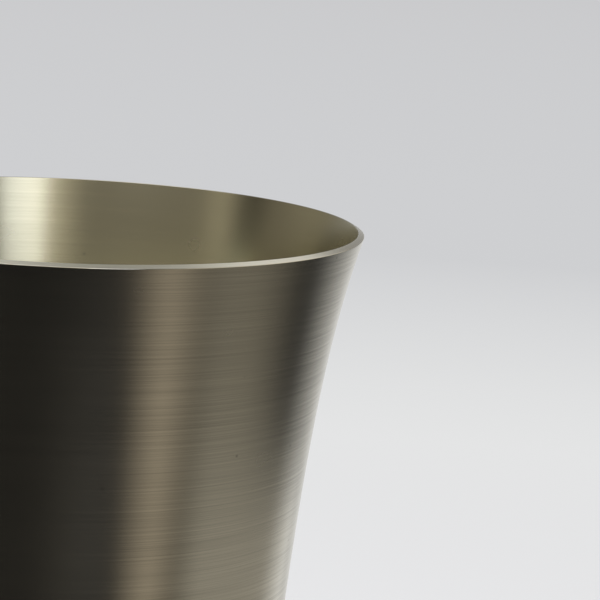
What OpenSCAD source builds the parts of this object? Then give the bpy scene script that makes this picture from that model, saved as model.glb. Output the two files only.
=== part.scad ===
// Communion chalice, turned and spun in metal, built as it comes apart on a bench: a flared cup with a
// threaded boss, a cup seat, a stem in sections with a hollow knop, and a trumpet foot, all drawn together
// by one tie rod and a nut under the foot. Units are millimetres, +Z is up, and the foot rests on Z = 0.

/* [Cup] */
// Outside diameter of the rim
rim_d = 90; // [70:1:110]
// Height of the cup, from the outside of its bottom to the rim
cup_h = 100; // [85:1:130]
// Wall of the cup
cup_wall = 1; // [0.8:0.1:1.6]
// How much lower the lip's outer edge is than its inner one, which makes its flat top lean outwards
lip_drop = 0.5; // [0.1:0.05:0.7]
// How far the flare throws the lip out, beyond the even taper of the wall
flare = 5.7; // [2:0.1:9]
// Depth in which the flare dies away
flare_len = 23.5; // [12:0.5:35]
// Even taper of the wall, in mm of radius per mm of depth
taper = 0.065; // [0:0.005:0.12]
// Depth from the lip at which the round bottom begins
wall_depth = 70; // [55:1:80]

/* [Stem] */
// Height of the turned collar on the foot
collar_h = 3.5; // [2.5:0.5:5]
// Radius of that collar
collar_r = 11.5; // [10:0.5:14]
// Height of the stem below the knop
lower_stem_h = 11.5; // [8:0.5:18]
// Height of the stem above the knop
upper_stem_h = 8.5; // [8:0.5:14]
// Radius of each stem section at its ends
stem_r = 9; // [8.6:0.1:10.5]
// How far each stem section is waisted, in radius
stem_waist = 1.3; // [0:0.1:1.4]
// Radius of the cup seat at its edge
seat_r = 16.5; // [12:0.5:22]
// Thickness of the cup seat in the middle
seat_t = 1.5; // [1.2:0.1:3]

/* [Knop] */
// Largest diameter of the knop, without its band
knop_d = 38; // [32:1:44]
// Height of the knop between its rings
knop_h = 23; // [20:1:28]
// Wall of the knop's half shells
knop_wall = 1; // [0.8:0.1:1.2]
// Height of the rings above and below the knop
ring_h = 4; // [3.5:0.5:5]
// Radius of those rings
ring_r = 11; // [10:0.5:13]
// Height of the band over the knop's seam
band_h = 3; // [2:0.5:5]
// How far the band stands out
band_out = 0.8; // [0.4:0.1:1.5]

/* [Foot] */
// Diameter of the foot over its edge ring
foot_d = 104; // [90:1:120]
// Height of the foot
foot_h = 44; // [36:1:55]
// Wall of the foot's shell
foot_wall = 1.2; // [1:0.1:1.6]
// Height of the edge ring
edge_h = 4; // [3:0.5:6]
// Width of the edge ring where it rests
edge_w = 3.4; // [3:0.2:5]
// Radius of the foot's neck
neck_r = 8.6; // [8.5:0.1:10]
// Height of the cross on the foot
cross_h = 13; // [9:0.5:16]

/* [Fastening] */
// Diameter of the tie rod
rod_d = 8; // [6:1:8]
// Width of the nut across its flats
nut_af = 13; // [10:1:13]
// Height of the nut
nut_h = 6.5; // [5:0.5:7]
// Thickness of the clamp plate inside the foot
plate_t = 2; // [1.5:0.5:3]
// Height of the clamp plate's underside above the table
plate_z = 17.5; // [16:0.5:19]

/* [Hidden] */

$fn = 128;
silver = [0.70, 0.67, 0.60];
bright = [0.80, 0.78, 0.72];
steel = [0.62, 0.63, 0.64];

// Clearances: a turned register in its recess, and the rod in the bores that it only passes through.
fit_gap = 0.05;
rod_gap = 0.2;
rod_r = rod_d / 2;
bore_r = rod_r + rod_gap;
// The registers that centre one turned section on the next.
register_r = 5.6;
register_h = 1.5;
recess_h = 1.6;
// The edge radius that a turned edge is broken by.
edge_break = 0.3;

// Heights of the joints between the pieces, from the table up.
collar_z = foot_h;
lower_stem_z = collar_z + collar_h;
lower_ring_z = lower_stem_z + lower_stem_h;
knop_z = lower_ring_z + ring_h;
upper_ring_z = knop_z + knop_h;
upper_stem_z = upper_ring_z + ring_h;
seat_z = upper_stem_z + upper_stem_h;
cup_z = seat_z + seat_t;
rim_z = cup_z + cup_h;

// ---- curves ----

function mix(a, b, t) = a + (b - a) * t;

// Points of a round stretch about centre c, from angle a to angle b.
function arc(c, r, a, b, n = 12) = [for (i = [0:n]) c + r * [cos(mix(a, b, i / n)), sin(mix(a, b, i / n))]];

// Points of an ellipse about centre c with half axes h, from angle a to angle b.
function oval(c, h, a, b, n = 24) =
    [for (i = [0:n]) let (t = mix(a, b, i / n)) c + [h[0] * cos(t), h[1] * sin(t)]];

// Points of a cubic curve with ends p and s and handles q and r.
function curve(p, q, r, s, n = 24) = [for (i = [0:n]) let (t = i / n, u = 1 - t)
    u * u * u * p + 3 * u * u * t * q + 3 * u * t * t * r + t * t * t * s];

function unit(v) = v / norm(v);
// The direction of a line of points at point i.
function run(line, i) = unit(line[min(i + 1, len(line) - 1)] - line[max(i - 1, 0)]);
// The same line moved sideways by d, to its right as it runs.
function beside(line, d) = [for (i = [0:len(line) - 1]) let (v = run(line, i)) line[i] + d * [v[1], -v[0]]];
// The height of a line of points at radius r, and its radius at height z.
function height_at(line, r) = lookup(r, line);
function radius_at(line, z) = lookup(z, [for (p = line) [p[1], p[0]]]);
// The part of a line that runs inwards, between radii a and b, cut exactly at both.
function between_radii(line, a, b) = concat([[b, height_at(line, b)]],
    [for (p = line) if (p[0] > a + 0.01 && p[0] < b - 0.01) p], [[a, height_at(line, a)]]);
// The part of a rising line between heights a and b, cut exactly at both.
function between_heights(line, a, b) = concat([[radius_at(line, a), a]],
    [for (p = line) if (p[1] > a + 0.01 && p[1] < b - 0.01) p], [[radius_at(line, b), b]]);
function reversed(line) = [for (i = [len(line) - 1:-1:0]) line[i]];
// Points of a round of radius r in the corner b of a line from a to c.
function softened(a, b, c, r, n = 5) =
    let (u = unit(a - b), v = unit(c - b), half = acos(u * v) / 2, o = b + r / sin(half) * unit(u + v))
    [for (i = [0:n]) o + r * unit(b - o + r / tan(half) * mix(u, v, i / n))];

module turned(outline) rotate_extrude() polygon(outline);

// ---- cup ----

lip_break = 0.12;
lip_lean = atan(taper + flare / flare_len);
wall_top = [rim_d / 2, rim_z - lip_drop];
// The radius of the outside wall at a depth below its top.
function wall_r(depth) = wall_top[0] - taper * depth - flare * (1 - exp(-depth / flare_len));
wall_steps = 36;
cup_wall_line = [for (i = [0:wall_steps]) let (d = wall_depth * i / wall_steps) [wall_r(d), wall_top[1] - d]];
wall_foot = cup_wall_line[wall_steps];
bottom_fall = wall_foot[1] - cup_z;
wall_foot_run = run(cup_wall_line, wall_steps);
cup_bottom_line = curve(wall_foot, wall_foot + 0.60 * bottom_fall * wall_foot_run,
    [0.52 * wall_foot[0], cup_z], [0, cup_z], 28);
cup_out = concat(cup_wall_line, [for (i = [1:len(cup_bottom_line) - 1]) cup_bottom_line[i]]);
cup_in_line = beside(cup_out, cup_wall);
// The inside bottom ends on the axis, straight above the outside one.
cup_in = concat([for (i = [0:len(cup_in_line) - 2]) cup_in_line[i]], [[0, cup_z + cup_wall]]);

module cup() {
    inner = [cup_in[0][0] + (rim_z - cup_in[0][1]) * tan(lip_lean), rim_z];
    color(silver) turned(concat(softened(cup_in[1], inner, wall_top, lip_break),
        softened(inner, wall_top, cup_out[1], lip_break), [for (i = [1:len(cup_out) - 1]) cup_out[i]],
        reversed([for (i = [1:len(cup_in) - 1]) cup_in[i]])));
}

// The boss is soldered under the cup and takes the upper end of the tie rod in a blind hole.
boss_r = 6.5;
boss_h = upper_stem_h - recess_h + seat_t - 0.4;
boss_hole_top = cup_z - 1.5;

module cup_boss() {
    bottom = cup_z - boss_h;
    color(bright) turned(concat(between_radii(cup_out, 0, boss_r),
        [[0, boss_hole_top], [rod_r + fit_gap, boss_hole_top], [rod_r + fit_gap, bottom + 0.6],
         [rod_r + 0.65, bottom], [boss_r - 0.5, bottom], [boss_r, bottom + 0.5]]));
}

// A turned saucer whose hollow is the cup's own bottom.
module cup_seat() {
    hole_r = boss_r + fit_gap;
    edge = [seat_r, height_at(cup_out, seat_r)];
    under = curve(edge + [0.25, -0.5], edge + [-0.4, -2.6], [stem_r + 3.2, seat_z], [stem_r, seat_z], 14);
    color(silver) turned(concat([[hole_r, seat_z], [hole_r, height_at(cup_out, hole_r)]],
        reversed(between_radii(cup_out, hole_r, seat_r)), [edge + [0.2, -0.1]], under));
}

// ---- stem ----

// The waisted outside of a stem section between two heights, from the bottom up.
function spool(z0, z1) = concat(
    [[stem_r - edge_break, z0]],
    [for (i = [0:16]) let (t = i / 16)
        [stem_r - stem_waist * sin(180 * t), mix(z0 + edge_break, z1 - edge_break, t)]],
    [[stem_r - edge_break, z1]]);

// A bead: straight faces below and above, and a half-round edge.
function bead(r, z0, z1, n = 14) = let (c = (z1 - z0) / 2)
    oval([r - c, z0 + c], [c, c], -90, 90, n);

module upper_stem() {
    boss_bore = boss_r + fit_gap;
    color(silver) turned(concat(spool(upper_stem_z, seat_z),
        [[boss_bore, seat_z], [boss_bore, upper_stem_z + recess_h],
         [register_r + fit_gap, upper_stem_z + recess_h], [register_r + fit_gap, upper_stem_z]]));
}

module lower_stem() {
    top = lower_ring_z;
    color(silver) turned(concat(spool(lower_stem_z, top),
        [[register_r, top], [register_r, top + register_h], [bore_r, top + register_h],
         [bore_r, lower_stem_z + recess_h], [register_r + fit_gap, lower_stem_z + recess_h],
         [register_r + fit_gap, lower_stem_z]]));
}

// ---- knop ----

knop_r = knop_d / 2;
knop_mid = [0, knop_z + knop_h / 2];
// The half axes of the knop's outside: it is cut off flat where it meets its rings.
knop_rise = knop_h / 2 + 1;
sleeve_r = 5.8;
sleeve_seat = 1.2;
pole_r = sleeve_r + 0.1;
// The angle on an oval of this half height at which the flat cut lies.
function cut_angle(rise) = asin(knop_h / 2 / rise);

// The half shell above the seam. The one below is its mirror image.
module half_shell() {
    outside = oval([0, 0], [knop_r, knop_rise], 0, cut_angle(knop_rise), 30);
    inner = [knop_r - knop_wall, knop_rise - knop_wall];
    inside = oval([0, 0], inner, acos(pole_r / inner[0]), 0, 30);
    turned(concat(outside, [[pole_r, knop_h / 2]], inside));
}

module knop_upper_shell() color(silver) translate([0, 0, knop_mid[1]]) half_shell();

module knop_lower_shell() color(silver) translate([0, 0, knop_mid[1]]) mirror([0, 0, 1]) half_shell();

// The band is soldered over the seam and follows the shells on its inside.
module knop_band() {
    half = asin(band_h / 2 / knop_rise);
    inside = oval(knop_mid, [knop_r, knop_rise], half, -half, 8);
    outside = oval([inside[0][0], knop_mid[1]], [knop_r + band_out - inside[0][0], band_h / 2], -90, 90, 14);
    color(bright) turned(concat([for (i = [1:len(inside) - 2]) inside[i]], outside));
}

// The sleeve carries the pull of the tie rod through the hollow knop.
module knop_sleeve() {
    bottom = knop_z - sleeve_seat;
    top = upper_ring_z + sleeve_seat;
    color(steel) difference() {
        translate([0, 0, bottom]) cylinder(r = sleeve_r, h = top - bottom);
        translate([0, 0, bottom - 1]) cylinder(r = bore_r, h = top - bottom + 2);
    }
}

module lower_knop_ring() {
    z0 = lower_ring_z;
    z1 = knop_z;
    seat = sleeve_r + fit_gap;
    color(bright) turned(concat([[register_r + fit_gap, z0]], bead(ring_r, z0, z1),
        [[seat, z1], [seat, z1 - sleeve_seat], [bore_r, z1 - sleeve_seat],
         [bore_r, z0 + recess_h], [register_r + fit_gap, z0 + recess_h]]));
}

module upper_knop_ring() {
    z0 = upper_ring_z;
    z1 = upper_stem_z;
    seat = sleeve_r + fit_gap;
    color(bright) turned(concat([[seat, z0]], bead(ring_r, z0, z1),
        [[register_r, z1], [register_r, z1 + register_h], [bore_r, z1 + register_h],
         [bore_r, z0 + sleeve_seat], [seat, z0 + sleeve_seat]]));
}

// ---- foot ----

foot_r = foot_d / 2;
// The shell's edge sits in a rebate of the edge ring.
rebate = 1.5;
shell_edge = [foot_r - rebate, edge_h];
foot_out = curve(shell_edge, [0.60 * foot_r, edge_h + 3.4], [0.205 * foot_r, 0.36 * foot_h],
    [neck_r, foot_h], 44);
foot_in = [for (p = beside(foot_out, -foot_wall)) if (p[1] > edge_h - foot_wall) p];

module foot_collar() {
    z1 = lower_stem_z;
    spigot_r = neck_r - foot_wall - fit_gap;
    color(bright) turned(concat([[bore_r, collar_z - 4], [spigot_r, collar_z - 4], [spigot_r, collar_z]],
        bead(collar_r, collar_z, z1),
        [[register_r, z1], [register_r, z1 + register_h], [bore_r, z1 + register_h]]));
}

module foot_shell() {
    inside = between_heights(foot_in, edge_h - foot_wall, foot_h);
    color(silver) turned(concat([[shell_edge[0], edge_h - foot_wall]], foot_out, reversed(inside)));
}

// The ring stiffens the foot's edge and is all that touches the table.
module foot_edge_ring() {
    inner_r = foot_r - edge_w;
    floor_z = edge_h - foot_wall;
    round_r = rebate - 0.3;
    top_r = [foot_r - round_r, edge_h - round_r];
    color(bright) turned(concat([[inner_r, edge_break], [inner_r + edge_break, 0], [foot_r - edge_break, 0],
        [foot_r, edge_break]], arc(top_r, round_r, 0, 90, 10),
        [[shell_edge[0], edge_h], [shell_edge[0], floor_z], [inner_r, floor_z]]));
}

// A plain cross soldered on the front of the foot, as thick as cross_t and bent to its slope.
cross_t = 0.7;
cross_bar = 2;
cross_arm = 0.66 * cross_h;
cross_foot_r = 0.75 * foot_r;

module foot_cross() {
    skin = between_radii(foot_out, cross_foot_r - cross_h - 2, cross_foot_r + 2);
    color(bright) intersection() {
        turned(concat(beside(skin, cross_t), reversed(skin)));
        translate([0, -cross_foot_r, edge_h]) linear_extrude(foot_h) {
            translate([-cross_bar / 2, 0]) square([cross_bar, cross_h]);
            translate([-cross_arm / 2, 0.58 * cross_h]) square([cross_arm, cross_bar]);
        }
    }
}

// ---- fastening under the foot ----

washer_t = 2;
washer_r = 6.5;
nut_z = plate_z - washer_t - nut_h;
rod_tip = nut_z - 3;

// A plate whose bevelled edge bears on the inside of the foot.
module clamp_plate() {
    rim = between_heights(foot_in, plate_z, plate_z + plate_t);
    color(steel) turned(concat([[bore_r, plate_z + plate_t], [bore_r, plate_z]], rim));
}

module lock_washer() {
    z0 = plate_z - washer_t;
    gap = 1.2;
    color(steel) difference() {
        translate([0, 0, z0]) cylinder(r = washer_r, h = washer_t);
        translate([0, 0, z0 - 1]) cylinder(r = bore_r, h = washer_t + 2);
        translate([-gap / 2, bore_r - 1, z0 - 1]) cube([gap, washer_r, washer_t + 2]);
    }
}

module clamp_nut() {
    corner_r = nut_af / 2 / cos(30);
    chamfer = 0.5 * (corner_r - nut_af / 2) + 0.35;
    color(steel) difference() {
        intersection() {
            translate([0, 0, nut_z]) cylinder(r = corner_r, h = nut_h, $fn = 6);
            turned([[0, nut_z], [corner_r - chamfer, nut_z], [corner_r + 0.2, nut_z + chamfer],
                [corner_r + 0.2, nut_z + nut_h - chamfer], [corner_r - chamfer, nut_z + nut_h],
                [0, nut_z + nut_h]]);
        }
        translate([0, 0, nut_z - 1]) cylinder(r = rod_r + fit_gap, h = nut_h + 2);
    }
}

module tie_rod() {
    top = boss_hole_top - 0.3;
    tip = 0.7;
    color(steel) turned([[0, rod_tip], [rod_r - tip, rod_tip], [rod_r, rod_tip + tip],
        [rod_r, top - tip], [rod_r - tip, top], [0, top]]);
}

cup();
cup_boss();
cup_seat();
upper_stem();
upper_knop_ring();
knop_upper_shell();
knop_band();
knop_lower_shell();
knop_sleeve();
lower_knop_ring();
lower_stem();
foot_collar();
foot_shell();
foot_edge_ring();
foot_cross();
clamp_plate();
lock_washer();
clamp_nut();
tie_rod();
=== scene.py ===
"""Looks of a communion chalice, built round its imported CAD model.
Lengths are in metres, +Z is up and -Y is the front."""

import math

import bpy
import numpy as np
from mathutils import Matrix, Vector


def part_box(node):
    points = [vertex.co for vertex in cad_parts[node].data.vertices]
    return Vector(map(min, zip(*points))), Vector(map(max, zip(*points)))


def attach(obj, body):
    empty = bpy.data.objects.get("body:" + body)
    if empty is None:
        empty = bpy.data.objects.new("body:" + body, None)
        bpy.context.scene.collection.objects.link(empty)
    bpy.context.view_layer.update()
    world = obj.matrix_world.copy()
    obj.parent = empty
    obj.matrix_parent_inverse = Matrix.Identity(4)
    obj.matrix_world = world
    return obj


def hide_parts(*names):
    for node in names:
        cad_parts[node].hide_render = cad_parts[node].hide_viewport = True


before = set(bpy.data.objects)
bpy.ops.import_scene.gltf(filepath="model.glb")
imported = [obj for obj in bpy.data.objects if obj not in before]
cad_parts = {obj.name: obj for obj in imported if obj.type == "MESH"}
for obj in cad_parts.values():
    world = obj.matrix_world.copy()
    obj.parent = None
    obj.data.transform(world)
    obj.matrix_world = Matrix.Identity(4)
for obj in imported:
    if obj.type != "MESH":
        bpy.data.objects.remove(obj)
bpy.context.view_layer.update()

MM = 0.001
ROOT = "root"
RIM_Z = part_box("cup")[1].z
RIM_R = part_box("cup")[1].x
LIP_DROP = 0.5 * MM
CUP_MIDDLE_Z = 0.75 * RIM_Z

# ---- the section of a turned CAD node ----

SAME_RING = 0.004 * MM
STRAIGHT = 0.0001 * MM
CORNER = math.radians(25)
LONG_STEP = 2.5
ARC_STEP = math.radians(18)
CURVE_STEP = math.radians(7)


def off_line(p, a, b):
    """How far point p is from the line through a and b."""
    run, rise = b[0] - a[0], b[1] - a[1]
    return abs(run * (p[1] - a[1]) - rise * (p[0] - a[0])) / math.hypot(run, rise)


def section(node):
    """The outline of a turned CAD node in its (radius, height) plane, and whether it is a closed loop.
    An outline that isn't closed starts and ends on the axis. The solid is on the outline's left."""
    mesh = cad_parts[node].data
    cells, rings, ring_of = {}, [], []
    for v in mesh.vertices:
        point = (math.hypot(v.co.x, v.co.y), v.co.z)
        a, b = round(point[0] / SAME_RING), round(point[1] / SAME_RING)
        near = [cells[(a + i, b + j)] for i in (-1, 0, 1) for j in (-1, 0, 1) if (a + i, b + j) in cells]
        if not near:
            cells[(a, b)] = len(rings)
            rings.append(point)
        ring_of.append(near[0] if near else len(rings) - 1)
    joined = [set() for _ in rings]
    for edge in mesh.edges:
        a, b = (ring_of[v] for v in edge.vertices)
        if a != b:
            joined[a].add(b)
            joined[b].add(a)
    ends = [i for i, others in enumerate(joined) if len(others) == 1]
    line = [ends[0] if ends else 0]
    while True:
        onward = [i for i in joined[line[-1]] if i not in line]
        if not onward:
            break
        line.append(onward[0])
    points = [rings[i] for i in line]
    if ends:
        if points[0][0] > SAME_RING:
            points.insert(0, (0.0, points[0][1]))
        if points[-1][0] > SAME_RING:
            points.append((0.0, points[-1][1]))
    points = np.array([p for i, p in enumerate(points) if (ends and i in (0, len(points) - 1))
                       or off_line(p, points[i - 1], points[(i + 1) % len(points)]) > STRAIGHT])
    r, z = points.T
    area = np.sum(r * np.roll(z, -1) - np.roll(r, -1) * z)
    return (points if area > 0 else points[::-1]), not ends


def steps(points, closed):
    """Length and unit direction of each step of an outline. A closed one has the step back to its start."""
    nexts = np.roll(points, -1, axis=0) if closed else points[1:]
    span = nexts - (points if closed else points[:-1])
    length = np.hypot(span[:, 0], span[:, 1])
    return length, span / length[:, None]


def turn(a, b):
    """The angle from direction a to direction b, positive to the left."""
    return math.atan2(a[0] * b[1] - a[1] * b[0], a[0] * b[0] + a[1] * b[1])


def eased(points, closed, radius):
    """The outline with each real corner broken by a small arc."""
    length, way = steps(points, closed)
    result = []
    for i, p in enumerate(points):
        if not closed and i in (0, len(points) - 1):
            result.append(p)
            continue
        before, after = i - 1, i
        bend = turn(way[before], way[after])
        if abs(bend) < CORNER:
            result.append(p)
            continue
        cut = min(radius * math.tan(abs(bend) / 2), 0.4 * length[before], 0.4 * length[after])
        side = math.copysign(cut / math.tan(abs(bend) / 2), bend)
        centre = p - cut * way[before] + side * np.array([-way[before][1], way[before][0]])
        arm = p - cut * way[before] - centre
        count = math.ceil(abs(bend) / ARC_STEP)
        for k in range(count + 1):
            c, s = math.cos(bend * k / count), math.sin(bend * k / count)
            result.append(centre + np.array([c * arm[0] - s * arm[1], s * arm[0] + c * arm[1]]))
    return np.array(result)


def headings(points, closed):
    """Unit direction of the outline at each point: along the circle through it and its two neighbours or,
    where a long straight meets a short step, along the straight."""
    length, way = steps(points, closed)
    result = []
    for i in range(len(points)):
        if not closed and i in (0, len(points) - 1):
            result.append(way[0 if i == 0 else -1])
            continue
        a, b = length[i - 1], length[i]
        if max(a, b) > LONG_STEP * min(a, b):
            result.append(way[i - 1] if a > b else way[i])
        else:
            result.append(way[i - 1] * b + way[i] * a)
    result = np.array(result)
    return result / np.linalg.norm(result, axis=1)[:, None]


def smoothed(points, closed, step):
    """The outline with points no more than step apart, on a smooth curve through the given ones."""
    length, _ = steps(points, closed)
    heading = headings(points, closed)
    result = []
    for i, size in enumerate(length):
        j = (i + 1) % len(points)
        bend = abs(turn(heading[i], heading[j]))
        count = max(1, math.ceil(size / step), math.ceil(bend / CURVE_STEP))
        for k in range(count):
            t = k / count
            result.append((2 * t ** 3 - 3 * t * t + 1) * points[i]
                          + (t ** 3 - 2 * t * t + t) * size * heading[i]
                          + (3 * t * t - 2 * t ** 3) * points[j]
                          + (t ** 3 - t * t) * size * heading[j])
    if not closed:
        result.append(points[-1])
    return np.array(result)


# ---- meshes ----

# The length along an outline that is one unit of the map "Turned".
MAP_UNIT = 100 * MM


def lathe(name, points, closed, segments, carve=None):
    """A mesh turned about Z from an outline. Its map "Turned" runs once round in U, and along the outline
    in V. carve, if it is given, is a function that moves the turned vertices."""
    length, _ = steps(points, closed)
    along = np.concatenate(([0], np.cumsum(length))) / MAP_UNIT
    ring = np.arange(segments)
    onward = (ring + 1) % segments
    u, v = ring / segments, (ring + 1) / segments
    angle = 2 * math.pi * u
    out = np.stack([np.cos(angle), np.sin(angle), np.zeros(segments)], axis=1)
    start, verts, normals, count = [], [], [], 0
    for (r, z), (run, rise) in zip(points, headings(points, closed)):
        start.append(count)
        around = out[:1] * 0 if r < SAME_RING else out
        verts.append(r * around + (0, 0, z))
        normals.append(rise * around + (0, 0, -run))
        count += len(around)
    faces, places = [], []
    for i in range(len(length)):
        j = (i + 1) % len(points)
        a, b = start[i], start[j]
        low, high = np.full(segments, along[i]), np.full(segments, along[i + 1])
        if points[i][0] < SAME_RING:
            corners, spots = (a + 0 * ring, b + onward, b + ring), (u, low, v, high, u, high)
        elif points[j][0] < SAME_RING:
            corners, spots = (a + ring, a + onward, b + 0 * ring), (u, low, v, low, u, high)
        else:
            corners = (a + ring, a + onward, b + onward, b + ring)
            spots = (u, low, v, low, v, high, u, high)
        faces += np.stack(corners, axis=1).tolist()
        places.append(np.stack(spots, axis=1).ravel())
    verts, places = np.concatenate(verts), np.concatenate(places)
    if carve:
        return new_piece(name, carve(verts), faces, places)
    return new_piece(name, verts, faces, places, np.concatenate(normals))


def new_piece(name, verts, faces, places=None, normals=None):
    """A smooth-shaded mesh object, with the map "Turned" where its corners' places on one are given."""
    mesh = bpy.data.meshes.new(name)
    mesh.from_pydata(verts, [], faces)
    if places is not None:
        layer = mesh.uv_layers.new(name="Turned")
        layer.data.foreach_set("uv", np.array(places, np.float32))
    mesh.shade_smooth()
    if normals is not None:
        mesh.normals_split_custom_set_from_vertices(normals)
    mesh.update()
    obj = bpy.data.objects.new(name, mesh)
    bpy.context.scene.collection.objects.link(obj)
    return obj


# ---- what the finish depends on: edges, and crevices, which get painted shade and tarnish ----

EDGE_R = 0.15 * MM
CREVICE = 0.7 * MM


def edge_share(points, closed):
    """For each point of an outline, how sharp an outside edge it is on: 0 on a flat, 1 on a broken corner."""
    length, _ = steps(points, closed)
    heading = headings(points, closed)
    result = np.zeros(len(points))
    for i in range(len(points)):
        if closed or 0 < i < len(points) - 1:
            bend = turn(heading[i - 1], heading[(i + 1) % len(points)])
            result[i] = bend / (length[i - 1] + length[i]) * EDGE_R
    return np.clip(result, 0, 1)


def crevice_shade_and_tarnish(points, others):
    """For each point of an outline, how deep it is in a crevice against the outlines of its neighbours, which
    sets how much painted shade and tarnish darken it.
    """
    if not len(others):
        return np.zeros(len(points))
    apart = points[:, None] - others[None]
    gap = np.min(np.hypot(apart[..., 0], apart[..., 1]), axis=1)
    return np.clip(1 - gap / CREVICE, 0, 1) ** 2


def mark(obj, name, per_vertex):
    """Gives each vertex of obj a number that its material reads."""
    layer = obj.data.attributes.new(name, "FLOAT", "POINT")
    layer.data.foreach_set("value", np.array(per_vertex, np.float32))


# ---- materials ----

def add(tree, kind, inputs=(), **settings):
    """A new shader node with its settings, and with each named or numbered input set to a value or linked."""
    made = tree.nodes.new("ShaderNode" + kind)
    for key, value in settings.items():
        setattr(made, key, value)
    for key, value in dict(inputs).items():
        if isinstance(value, bpy.types.NodeSocket):
            tree.links.new(value, made.inputs[key])
        else:
            made.inputs[key].default_value = value
    return made


def maths(tree, operation, a, b=0.0, clamp=False):
    return add(tree, "Math", {0: a, 1: b}, operation=operation, use_clamp=clamp).outputs[0]


def span(tree, value, low, high, to_low=0.0, to_high=1.0):
    """value, stretched so that low to high becomes to_low to to_high, and held there beyond."""
    return add(tree, "MapRange", {"Value": value, "From Min": low, "From Max": high, "To Min": to_low,
                                  "To Max": to_high}).outputs["Result"]


def tint(tree, share, colour, other):
    """colour mixed with other by share."""
    made = add(tree, "Mix", {"Factor": share}, data_type="RGBA")
    for socket, value in ((made.inputs[6], colour), (made.inputs[7], other)):
        if isinstance(value, bpy.types.NodeSocket):
            tree.links.new(value, socket)
        else:
            socket.default_value = (*value, 1)
    return made.outputs[2]


def from_axis(tree, x, y):
    """The distance of a place from the axis."""
    squares = maths(tree, "ADD", maths(tree, "MULTIPLY", x, x), maths(tree, "MULTIPLY", y, y))
    return maths(tree, "SQRT", squares)


def drawn_out(tree, long, wide):
    """Coordinates for a pattern brushed round the axis: its features are about long by wide."""
    place = add(tree, "TexCoord").outputs["Object"]
    along = add(tree, "SeparateXYZ", {0: add(tree, "UVMap", uv_map="Turned").outputs[0]}).outputs["Y"]
    flat = (1 / long, 1 / long, 0)
    scaled = add(tree, "VectorMath", {0: place, 1: flat}, operation="MULTIPLY").outputs[0]
    rise = add(tree, "CombineXYZ", {"Z": maths(tree, "MULTIPLY", along, MAP_UNIT / wide)}).outputs[0]
    return add(tree, "VectorMath", {0: scaled, 1: rise}, operation="ADD").outputs[0]


def noise(tree, vector, detail=2.0, scale=1.0):
    return add(tree, "TexNoise", {"Vector": vector, "Scale": scale, "Detail": detail}).outputs["Fac"]


def new_material(name):
    material = bpy.data.materials.new(name)
    material.use_nodes = True
    material.node_tree.nodes.clear()
    return material, material.node_tree


def brushed(name, colour, roughness, streak, anisotropic):
    """Silver-like metal with lines brushed round the axis. streak is how strongly they show."""
    material, tree = new_material(name)
    fine = noise(tree, drawn_out(tree, 30 * MM, 0.16 * MM), detail=1.0)
    broad = noise(tree, drawn_out(tree, 60 * MM, 0.32 * MM))
    rings = noise(tree, drawn_out(tree, 400 * MM, 5 * MM), detail=1.0)
    place = add(tree, "TexCoord").outputs["Object"]
    smudge = noise(tree, place, detail=3.0, scale=60)
    cells = add(tree, "TexVoronoi", {"Vector": place, "Scale": 200.0}).outputs["Distance"]
    nick = span(tree, cells, 0.06, 0.02)
    edge = add(tree, "Attribute", attribute_name="Edge").outputs["Fac"]
    crevice = add(tree, "Attribute", attribute_name="CreviceShadeAndTarnish").outputs["Fac"]

    lines = maths(tree, "ADD", maths(tree, "MULTIPLY", fine, 0.65), maths(tree, "MULTIPLY", broad, 0.35))
    shade = span(tree, lines, 0.3, 0.7, 1 - streak, 1 + streak)
    metal = add(tree, "VectorMath", {0: colour, "Scale": shade}, operation="SCALE").outputs[0]
    metal = tint(tree, span(tree, smudge, 0.45, 0.8, 0, 0.3), metal, [0.86 * c for c in colour])
    metal = tint(tree, maths(tree, "MULTIPLY", nick, 0.6), metal, [0.4 * c for c in colour])
    metal = tint(tree, maths(tree, "MULTIPLY", edge, 0.5), metal, [min(1, 1.2 * c) for c in colour])
    # Painted shade and tarnish: the metal turns dark brown in the crevices against neighbouring pieces.
    metal = tint(tree, maths(tree, "MULTIPLY", crevice, 0.75), metal, (0.10, 0.085, 0.065))

    rough = maths(tree, "ADD", span(tree, rings, 0.3, 0.7, roughness - 0.005, roughness + 0.005),
                  span(tree, smudge, 0.45, 0.8, 0, 0.02))
    rough = maths(tree, "ADD", rough, maths(tree, "MULTIPLY", crevice, 0.25))
    rough = maths(tree, "SUBTRACT", rough, maths(tree, "MULTIPLY", edge, 0.1), clamp=True)

    bump = add(tree, "Bump", {"Height": rings, "Strength": 1.0, "Distance": 2e-6})
    shader = add(tree, "BsdfPrincipled", {
        "Base Color": metal, "Metallic": 1.0, "Roughness": rough, "Anisotropic": anisotropic,
        "Anisotropic Rotation": 0.25, "Normal": bump.outputs[0],
        "Tangent": add(tree, "Tangent", direction_type="UV_MAP", uv_map="Turned").outputs[0]})
    tree.links.new(shader.outputs[0], add(tree, "OutputMaterial").inputs[0])
    return material


# Pitch of the marks that the lathe's tool leaves on plain hardware.
TOOL_MARK = MM / 6


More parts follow.
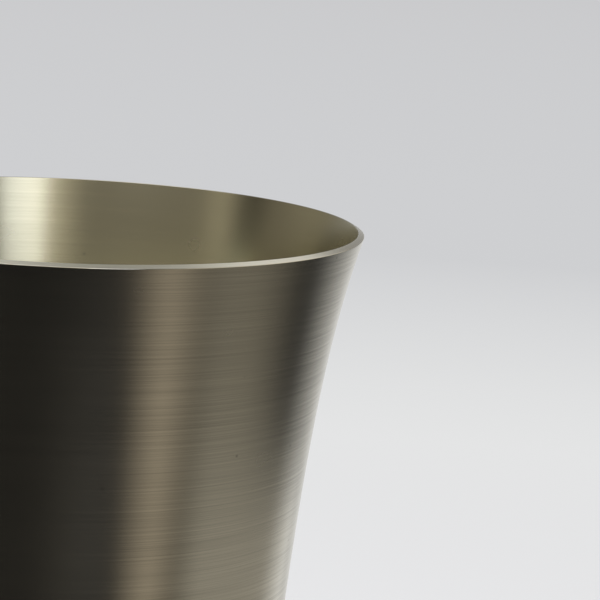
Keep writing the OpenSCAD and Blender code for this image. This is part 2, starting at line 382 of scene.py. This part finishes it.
def turned_steel(name, colour, roughness):
    """Plain steel hardware, with the concentric marks of the lathe and a little dulling."""
    material, tree = new_material(name)
    place = add(tree, "TexCoord").outputs["Object"]
    x, y, z = add(tree, "SeparateXYZ", {0: place}).outputs
    across = maths(tree, "MULTIPLY", from_axis(tree, x, y), 1 / TOOL_MARK)
    up = maths(tree, "MULTIPLY", z, 1 / TOOL_MARK)
    marks = noise(tree, add(tree, "CombineXYZ", {0: across, 1: up}).outputs[0])
    dull = noise(tree, place, detail=4.0, scale=220)
    shade = span(tree, marks, 0.3, 0.7, 0.92, 1.08)
    steel = add(tree, "VectorMath", {0: colour, "Scale": shade}, operation="SCALE")
    steel = tint(tree, span(tree, dull, 0.5, 0.75, 0, 0.6), steel.outputs[0], [0.6 * c for c in colour])
    rough = maths(tree, "ADD", span(tree, marks, 0.3, 0.7, roughness - 0.04, roughness + 0.04),
                  span(tree, dull, 0.5, 0.75, 0, 0.15))
    bump = add(tree, "Bump", {"Height": marks, "Strength": 1.0, "Distance": 3e-6})
    shader = add(tree, "BsdfPrincipled", {"Base Color": steel, "Metallic": 1.0, "Roughness": rough,
                                          "Normal": bump.outputs[0]})
    tree.links.new(shader.outputs[0], add(tree, "OutputMaterial").inputs[0])
    return material


SILVER = (0.60, 0.575, 0.49)
SATIN = brushed("satin", SILVER, 0.26, 0.13, 0.7)
INSIDE = brushed("inside", (0.60, 0.575, 0.43), 0.26, 0.05, 0.7)
LIP = brushed("lip", SILVER, 0.30, 0.05, 0.3)
POLISHED = brushed("polished", [1.12 * c for c in SILVER], 0.17, 0.05, 0.6)
STEEL = turned_steel("steel", (0.50, 0.50, 0.50), 0.34)

# ---- the pieces ----

# Each turned node: its material, a name for a slot, which nothing here uses, the longest step of its outline
# and its segments.
TURNED = {
    "cup": (SATIN, "satin_metal", 0.9 * MM, 256),
    "cup_boss": (POLISHED, "polished_metal", 0.6 * MM, 96),
    "cup_seat": (SATIN, "satin_metal", 0.5 * MM, 256),
    "upper_stem": (SATIN, "satin_metal", 0.4 * MM, 192),
    "upper_knop_ring": (POLISHED, "polished_metal", 0.4 * MM, 192),
    "knop_upper_shell": (SATIN, "satin_metal", 0.5 * MM, 256),
    "knop_band": (POLISHED, "polished_metal", 0.3 * MM, 256),
    "knop_lower_shell": (SATIN, "satin_metal", 0.5 * MM, 256),
    "knop_sleeve": (STEEL, "hardware", 1.0 * MM, 96),
    "lower_knop_ring": (POLISHED, "polished_metal", 0.4 * MM, 192),
    "lower_stem": (SATIN, "satin_metal", 0.4 * MM, 192),
    "foot_collar": (POLISHED, "polished_metal", 0.4 * MM, 192),
    "foot_shell": (SATIN, "satin_metal", 0.7 * MM, 256),
    "foot_edge_ring": (POLISHED, "polished_metal", 0.4 * MM, 256),
    "clamp_plate": (STEEL, "hardware", 0.6 * MM, 128),
    "tie_rod": (STEEL, "hardware", 0.15 * MM, 64),
}


# How far a face's normal points up where it belongs to the lip, and to the cup's bottom inside.
LIP_FACES_UP = 0.4
BOTTOM_FACES_UP = 0.5


def finish_cup(cup):
    """Gives the lip and the inside of the cup their own finishes."""
    cup.data.materials.append(LIP)
    cup.data.materials.append(INSIDE)
    for face in cup.data.polygons:
        x, y, z = face.center
        if face.normal.z > LIP_FACES_UP and z > RIM_Z - 2 * LIP_DROP:
            face.material_index = 1
        elif face.normal.x * x + face.normal.y * y < 0 or face.normal.z > BOTTOM_FACES_UP:
            face.material_index = 2


PITCH = 1.25 * MM
THREAD_DEPTH = 0.75 * MM
THREAD_FLANK = 1.2
THREAD_CREST = 0.1
NUT_END_THREAD = 26 * MM
CUP_END_THREAD = 14 * MM


def thread(verts):
    """The vertices of the tie rod, with a screw thread cut into both of its ends."""
    x, y, z = verts.T
    turns = z / PITCH - np.arctan2(y, x) / (2 * math.pi)
    groove = np.clip(THREAD_FLANK * (1 - np.abs(2 * (turns % 1) - 1)) - THREAD_CREST, 0, 1)
    low, high = z.min(), z.max()
    runout = np.maximum(np.clip((low + NUT_END_THREAD - z) / PITCH, 0, 1),
                        np.clip((z - high + CUP_END_THREAD) / PITCH, 0, 1))
    radius = np.hypot(x, y)
    core = radius.max() - THREAD_DEPTH
    cut = np.minimum(radius, radius.max() - THREAD_DEPTH * groove * runout)
    share = np.where(radius > core, cut / np.maximum(radius, core), 1)
    return np.stack([x * share, y * share, z], axis=1)


def turned_pieces():
    """A smooth turned piece in place of each turned CAD node."""
    lines = {}
    for node, (_, _, step, _) in TURNED.items():
        points, closed = section(node)
        lines[node] = (smoothed(eased(points, closed, EDGE_R), closed, step), closed)
    for node, (material, slot, _, segments) in TURNED.items():
        points, closed = lines[node]
        low, high = points[:, 1].min() - CREVICE, points[:, 1].max() + CREVICE
        near = [q for other, (line, _) in lines.items() if other != node for q in line if low < q[1] < high]
        piece = lathe(node + "_turned", points, closed, segments, thread if node == "tie_rod" else None)
        count = [1 if r < SAME_RING else segments for r, _ in points]
        mark(piece, "Edge", np.repeat(edge_share(points, closed), count))
        # How much painted shade and tarnish each vertex gets in the crevices.
        mark(piece, "CreviceShadeAndTarnish", np.repeat(crevice_shade_and_tarnish(points, np.array(near)), count))
        piece.data.materials.append(material)
        if node == "cup":
            finish_cup(piece)
        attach(piece, ROOT)
        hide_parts(node)


CROSS_BAR = 2.0 * MM
CROSS_ARM_FROM = 0.58
CROSS_THICK = 0.7 * MM
CROSS_ROUND = 0.3 * MM
CROSS_SUNK = 0.05 * MM
CROSS_STEP = 0.6 * MM
CROSS_SHARP = math.radians(40)
SLOPE_STEP = 0.7 * MM


def skin_at(outline, radius):
    """Height and slope of the upper side of a closed outline at a radius."""
    crossed = []
    for a, b in zip(outline, np.roll(outline, -1, axis=0)):
        if min(a[0], b[0]) <= radius <= max(a[0], b[0]) and a[0] != b[0]:
            slope = (b[1] - a[1]) / (b[0] - a[0])
            crossed.append((a[1] + slope * (radius - a[0]), slope))
    return max(crossed)


def cuts(edges):
    """Places across a grid: fine by each edge, where the round is, and even between."""
    share = [math.sin(math.radians(a)) for a in (0, 22.5, 45, 67.5, 90)]
    fine = [1 - math.sqrt(1 - c * c) for c in share]
    near = sorted({round(e + sign * CROSS_ROUND * f, 7) for e in edges for sign in (-1, 1) for f in fine})
    near = [v for v in near if edges[0] < v < edges[-1]]
    near = [edges[0], *(v for v in near if min(v - edges[0], edges[-1] - v) > 0.01 * MM), edges[-1]]
    result = []
    for a, b in zip(near, near[1:]):
        result += list(np.linspace(a, b, max(1, math.ceil((b - a) / CROSS_STEP)), endpoint=False))
    return result + [near[-1]]


def foot_cross():
    """The cross on the front of the foot: bent to the foot's slope, with its upper edges rounded over."""
    low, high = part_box("foot_cross")
    outline = smoothed(*section("foot_shell"), SLOPE_STEP)
    arm_low = low.y + CROSS_ARM_FROM * (high.y - low.y)
    bars = [(-CROSS_BAR / 2, CROSS_BAR / 2, low.y, high.y), (low.x, high.x, arm_low, arm_low + CROSS_BAR)]

    def inside(x, y):
        """How far a place is inside the cross's edge, or below zero outside it."""
        return max(min(x - left, right - x, y - front, back - y) for left, right, front, back in bars)

    xs = cuts([low.x, -CROSS_BAR / 2, CROSS_BAR / 2, high.x])
    ys = cuts([low.y, arm_low, arm_low + CROSS_BAR, high.y])
    count = len(ys)
    verts, edge = [], []
    for x in xs:
        for y in ys:
            height, slope = skin_at(outline, math.hypot(x, y))
            part = min(max(inside(x, y) / CROSS_ROUND, 0), 1)
            rise = CROSS_THICK - CROSS_ROUND * (1 - math.sqrt(1 - (1 - part) ** 2))
            verts += [(x, y, height + rise * math.hypot(1, slope)), (x, y, height - CROSS_SUNK)]
            edge += [1 - part] * 2
    kept = {(i, j) for i in range(len(xs) - 1) for j in range(count - 1)
            if inside((xs[i] + xs[i + 1]) / 2, (ys[j] + ys[j + 1]) / 2) > 0}
    faces = []
    for i, j in sorted(kept):
        a, b, c, d = (2 * (m * count + n) for m, n in ((i, j), (i + 1, j), (i + 1, j + 1), (i, j + 1)))
        faces += [(a, b, c, d), (d + 1, c + 1, b + 1, a + 1)]
        sides = (((i, j - 1), a, b), ((i + 1, j), b, c), ((i, j + 1), c, d), ((i - 1, j), d, a))
        for beyond, p, q in sides:
            if beyond not in kept:
                faces.append((p + 1, q + 1, q, p))
    used = sorted({v for face in faces for v in face})
    place = {v: k for k, v in enumerate(used)}
    faces = [[place[v] for v in face] for face in faces]
    verts = [verts[v] for v in used]
    spots = [(verts[v][0] / MAP_UNIT, verts[v][1] / MAP_UNIT) for face in faces for v in face]
    piece = new_piece("foot_cross_rounded", verts, faces, np.array(spots).ravel())
    piece.data.set_sharp_from_angle(angle=CROSS_SHARP)
    mark(piece, "Edge", [edge[v] for v in used])
    piece.data.materials.append(POLISHED)
    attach(piece, ROOT)
    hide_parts("foot_cross")


turned_pieces()
foot_cross()
for name in ("lock_washer", "clamp_nut"):
    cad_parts[name].data.materials.clear()
    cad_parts[name].data.materials.append(STEEL)


# ---- stage ----

def azimuth_of(tree, x, y):
    """The azimuth of a direction or a place, in degrees: 0 is the camera's side and 90 its right."""
    return maths(tree, "DEGREES", maths(tree, "ARCTAN2", x, maths(tree, "MULTIPLY", y, -1.0)))


def panels(tree, azimuth, room, stands):
    """The colour of a dark room by azimuth, with a soft-edged panel at each of its stands."""
    colour = room
    for middle, width, soft, level, tone in stands.values():
        away = maths(tree, "PINGPONG", maths(tree, "SUBTRACT", azimuth, middle), 180.0)
        share = span(tree, away, (width + soft) / 2, (width - soft) / 2)
        colour = tint(tree, share, colour, [level * c for c in tone])
    return colour


# The floor's glow of painted light near the chalice and dimmer further out, and the paper's tone past the
# floor's edge, which the glow fades into.
NEAR_FLOOR_GLOW = (0.785, 0.79, 0.79)
MIDDLE_FLOOR_GLOW = (0.622, 0.628, 0.642)
PAPER = (0.590, 0.592, 0.605)
PALE = (1.0, 1.0, 1.0)
CREAM = (1.05, 1.0, 0.9)
WARM = (1.1, 1.0, 0.8)
ROSY = (1.15, 1.0, 0.8)
# The panels that stand round the chalice in a dark room, below the eye's height and above it. Each has the
# azimuth of its middle, its width and the softness of its edges, all in degrees, and its level and tone.
BELOW_ROOM = (0.01, 0.01, 0.01)
BELOW = {
    "side_card": (80, 40, 25, 0.15, WARM),
    "lamp": (47, 17, 17, 0.38, ROSY),
    "back_paper": (180, 65, 50, 1.00, PALE),
    "left_card": (-100, 35, 20, 0.55, PALE),
    "left_strip": (-55, 10, 10, 0.30, WARM),
}
ABOVE_ROOM = (0.19, 0.17, 0.14)
ABOVE = {
    "bright_wall": (10, 18, 18, 0.70, WARM),
    "left_wall": (-125, 30, 20, 0.25, WARM),
    "left_gap": (-85, 15, 10, 0.05, WARM),
    "left_lamp": (-70, 10, 10, 0.40, WARM),
    "big_panel": (95, 85, 15, 0.80, CREAM),
    "back_wall": (180, 60, 40, 0.40, PALE),
}
# Where the panels below give way to those above, and those to the ceiling, as heights of a unit direction.
EYE_LEVEL = (-0.12, 0.12)
CEILING_FROM = (0.68, 0.88)
CEILING = (0.36, 0.36, 0.34)
# The even light that falls on the floor.
SOFT_LIGHT = (0.58, 0.58, 0.59)


def studio():
    """The surroundings: what the metal mirrors, the even light on the floor, and the paper past the floor."""
    world = bpy.data.worlds.new("studio")
    world.use_nodes = True
    tree = world.node_tree
    tree.nodes.clear()
    x, y, z = add(tree, "SeparateXYZ", {0: add(tree, "TexCoord").outputs["Generated"]}).outputs
    azimuth = azimuth_of(tree, x, y)
    below = panels(tree, azimuth, BELOW_ROOM, BELOW)
    walls = tint(tree, span(tree, z, *EYE_LEVEL), below, panels(tree, azimuth, ABOVE_ROOM, ABOVE))
    mirrored = tint(tree, span(tree, z, *CEILING_FROM), walls, CEILING)
    path = add(tree, "LightPath").outputs
    colour = tint(tree, path["Is Diffuse Ray"], mirrored, SOFT_LIGHT)
    colour = tint(tree, path["Is Camera Ray"], colour, PAPER)
    tree.links.new(add(tree, "Background", {0: colour}).outputs[0], add(tree, "OutputWorld").inputs[0])
    bpy.context.scene.world = world


# The fill card: its place, the azimuths in degrees between which it fades in on its left, fades out on its
# right and brightens towards its right end, and its tones.
CARD_RADIUS = RIM_R + 65 * MM
CARD_TOP = RIM_Z - 65 * MM
CARD_BOTTOM = RIM_Z - 125 * MM
CARD_SOFT = 14 * MM
CARD_LEFT = (50, 62)
CARD_RIGHT = (136, 128)
CARD_BRIGHTENS = (105, 125)
CARD_LEVEL = (0.37, 0.35, 0.31)
CARD_BRIGHT_END = (0.85, 0.85, 0.85)
CARD_STRIPS = 32


def fill_card():
    """A strip of card on the right, just outside the foot and with soft edges. Only the metal sees it.
    It lightens the lower part of the cup."""
    left, right = math.radians(CARD_LEFT[0]), math.radians(CARD_RIGHT[0])
    verts, faces = [], []
    for k in range(CARD_STRIPS + 1):
        a = left + (right - left) * k / CARD_STRIPS
        for z in (CARD_TOP + CARD_SOFT, CARD_BOTTOM):
            verts.append((CARD_RADIUS * math.sin(a), -CARD_RADIUS * math.cos(a), z))
        faces += [(2 * k, 2 * k + 1, 2 * k - 1, 2 * k - 2)] if k else []
    card = new_piece("fill_card", verts, faces)
    material, tree = new_material("card")
    x, y, z = add(tree, "SeparateXYZ", {0: add(tree, "TexCoord").outputs["Object"]}).outputs
    azimuth = azimuth_of(tree, x, y)
    share = maths(tree, "MULTIPLY", span(tree, azimuth, *CARD_LEFT), span(tree, azimuth, *CARD_RIGHT))
    share = maths(tree, "MULTIPLY", share, span(tree, z, CARD_TOP + CARD_SOFT / 2, CARD_TOP - CARD_SOFT / 2))
    share = maths(tree, "MULTIPLY", share, span(tree, z, CARD_BOTTOM, CARD_BOTTOM + CARD_SOFT))
    colour = tint(tree, span(tree, azimuth, *CARD_BRIGHTENS), CARD_LEVEL, CARD_BRIGHT_END)
    shine = add(tree, "Emission", {0: colour})
    clear = add(tree, "BsdfTransparent")
    both = add(tree, "MixShader", {0: share, 1: clear.outputs[0], 2: shine.outputs[0]})
    tree.links.new(both.outputs[0], add(tree, "OutputMaterial").inputs[0])
    card.data.materials.append(material)
    card.visible_camera = card.visible_diffuse = card.visible_shadow = False


# The floor: its size, its own colour, and the distances from the axis between which it stops being lit and
# only glows with painted light, its brighter near glow turns into the middle one, and that one turns into the
# paper's past the floor.
FLOOR_RADIUS = 12
FLOOR_CORNERS = 96
FLOOR_COLOUR = (0.80, 0.80, 0.81, 1)
LIT_UP_TO = (0.3, 0.9)
NEAR_UP_TO = (0.78, 1.3)
MIDDLE_UP_TO = (1.2, 4.0)


def floor():
    """A round sheet of pale paper: really lit round the chalice, and further out a glow of painted light,
    brightest nearest the chalice, that fades into the surroundings."""
    angle = [2 * math.pi * k / FLOOR_CORNERS for k in range(FLOOR_CORNERS)]
    verts = [(FLOOR_RADIUS * math.cos(a), FLOOR_RADIUS * math.sin(a), 0) for a in angle]
    sheet = new_piece("floor", verts, [range(FLOOR_CORNERS)])
    material, tree = new_material("paper")
    x, y, _ = add(tree, "SeparateXYZ", {0: add(tree, "TexCoord").outputs["Object"]}).outputs
    far = from_axis(tree, x, y)
    lit = add(tree, "BsdfDiffuse", {0: FLOOR_COLOUR})
    glow = tint(tree, span(tree, far, *NEAR_UP_TO), NEAR_FLOOR_GLOW, MIDDLE_FLOOR_GLOW)
    # Painted light: beyond the lit ring the floor glows, brighter near the chalice as if lit there.
    plain = add(tree, "Emission", {0: tint(tree, span(tree, far, *MIDDLE_UP_TO), glow, PAPER)})
    both = add(tree, "MixShader", {0: span(tree, far, *LIT_UP_TO), 1: lit.outputs[0], 2: plain.outputs[0]})
    tree.links.new(both.outputs[0], add(tree, "OutputMaterial").inputs[0])
    sheet.data.materials.append(material)
    sheet.visible_glossy = False


# The lamps: azimuth and elevation in degrees, distance, size, brightness, colour, and whether the metal
# mirrors them. One that isn't mirrored lights the floor and casts the shadow.
WHITE = (1, 1, 1)
LAMPS = {
    "window": (19, 28, 1.3, (0.41, 0.70), 1.55, (0.94, 1.0, 1.15), True),
    "overhead": (-65, 70, 1.6, (1.4, 1.2), 1.2, WHITE, True),
    "behind": (152, 45, 1.4, (0.7, 0.6), 0.75, WHITE, True),
    "shadow_maker": (-50, 55, 1.6, (0.9, 0.9), 5.0, WHITE, False),
}


def soft_light(name, azimuth, elevation, distance, size, brightness, colour, mirrored):
    """A soft box that points at the middle of the cup. Azimuth 0 is the camera's side and 90 is its right."""
    a, e = math.radians(azimuth), math.radians(elevation)
    back = Vector((math.sin(a) * math.cos(e), -math.cos(a) * math.cos(e), math.sin(e)))
    data = bpy.data.lights.new(name, "AREA")
    data.shape = "RECTANGLE"
    data.size, data.size_y = size
    data.energy = brightness * math.pi * size[0] * size[1]
    data.color = colour
    light = bpy.data.objects.new(name, data)
    light.location = Vector((0, 0, CUP_MIDDLE_Z)) + distance * back
    light.rotation_mode = "QUATERNION"
    light.rotation_quaternion = back.to_track_quat("Z", "Y")
    light.visible_glossy = mirrored
    bpy.context.scene.collection.objects.link(light)


# The camera: its distance from the rim's centre, its elevation over it, and its turns, in degrees.
CAMERA_DISTANCE = 9.7 * RIM_R
CAMERA_ELEVATION = 8.25
CAMERA_PAN = 4.7
CAMERA_TILT = -1.38
CAMERA_ROLL = 2.5
CAMERA_LENS = 174


def camera():
    """Close to the rim, a little above it, with the rim's centre near the left edge of the picture."""
    data = bpy.data.cameras.new("camera")
    data.lens = CAMERA_LENS
    data.clip_start, data.clip_end = 0.01, 30
    cam = bpy.data.objects.new("camera", data)
    e = math.radians(CAMERA_ELEVATION)
    height = RIM_Z - LIP_DROP + CAMERA_DISTANCE * math.sin(e)
    place = Vector((0, -CAMERA_DISTANCE * math.cos(e), height))
    turns = [(90 - CAMERA_ELEVATION, "X"), (-CAMERA_PAN, "Y"), (CAMERA_TILT, "X"), (CAMERA_ROLL, "Z")]
    cam.matrix_world = Matrix.Translation(place)
    for degrees, axis in turns:
        cam.matrix_world = cam.matrix_world @ Matrix.Rotation(math.radians(degrees), 4, axis)
    bpy.context.scene.collection.objects.link(cam)
    bpy.context.scene.camera = cam


studio()
floor()
fill_card()
for lamp, settings in LAMPS.items():
    soft_light(lamp, *settings)
camera()
bpy.context.scene.view_settings.view_transform = "Standard"
